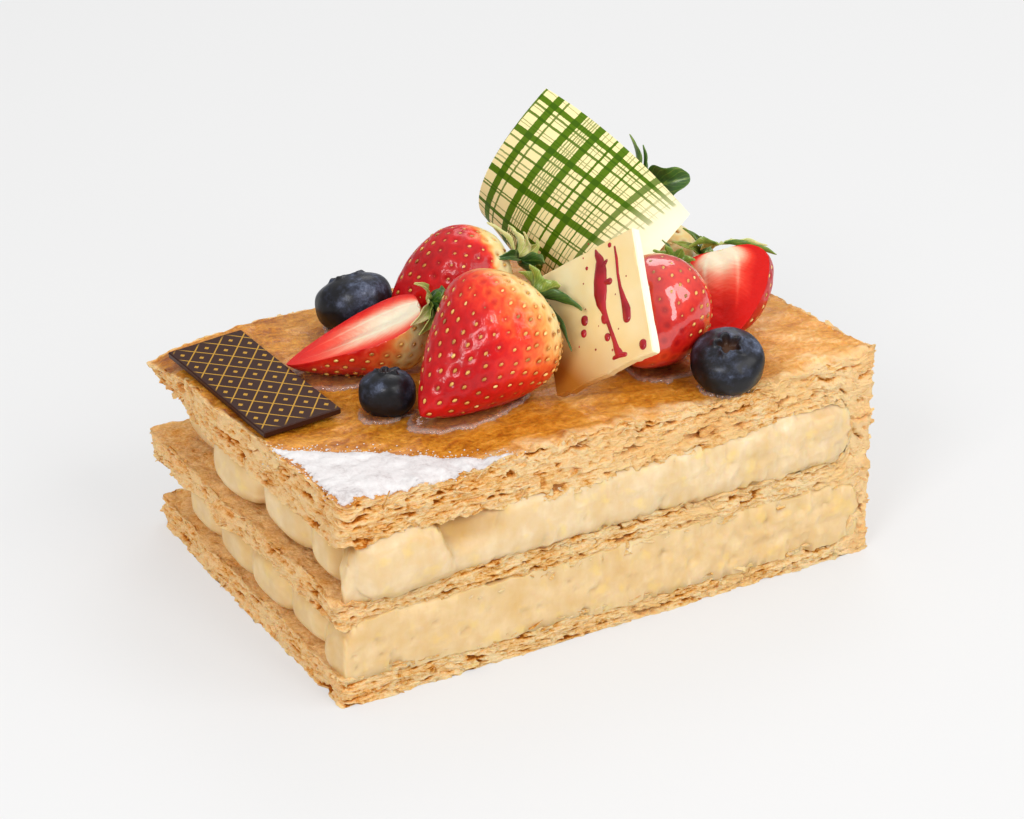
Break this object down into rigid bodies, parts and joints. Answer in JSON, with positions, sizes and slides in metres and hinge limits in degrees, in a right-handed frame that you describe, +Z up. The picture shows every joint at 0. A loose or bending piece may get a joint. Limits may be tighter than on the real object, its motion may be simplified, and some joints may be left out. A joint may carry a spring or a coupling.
{
  "type": "mille-feuille cake",
  "caption": "Rectangular mille-feuille of baked puff pastry sheets with piped custard between them, topped with strawberries, blueberries and chocolate decorations.",
  "frame": {"origin": "centre of the whole cake's bounding box in plan, at the flat underside of the bottom pastry sheet", "axes": "+Z up; +X along the long side, towards the end away from the dark plaque; -Y towards the long side that was cut clean"},
  "size_m": [0.1558, 0.1094, 0.1046],
  "materials": {
    "pastry": "flaky baked crust, glazed on the top sheet",
    "custard": "smooth, moist pastry cream",
    "dark_chocolate": "satin dark chocolate with a printed gold pattern",
    "white_chocolate": "satin white chocolate with printed decoration",
    "strawberry": "glossy, seeded skin; moist cut faces",
    "calyx": "fresh green leaf",
    "blueberry": "waxy bloom"
  },
  "bodies": {
    "root": {"pastry_bottom": "pastry", "pastry_middle": "pastry", "pastry_top": "pastry", "custard_lower": "custard", "custard_upper": "custard", "dark_chocolate_plaque": "dark_chocolate", "white_chocolate_tile": "white_chocolate", "patterned_chocolate_sheet": "white_chocolate", "strawberry_rear": "strawberry", "strawberry_left_half": "strawberry", "strawberry_front": "strawberry", "strawberry_middle": "strawberry", "strawberry_right_half": "strawberry", "strawberry_tall": "strawberry", "strawberry_low": "strawberry", "calyx_rear": "calyx", "calyx_left_half": "calyx", "calyx_front": "calyx", "calyx_middle": "calyx", "calyx_right_half": "calyx", "calyx_tall": "calyx", "calyx_low": "calyx", "blueberry_rear": "blueberry", "blueberry_front": "blueberry", "blueberry_right": "blueberry"}
  },
  "joints": []
}
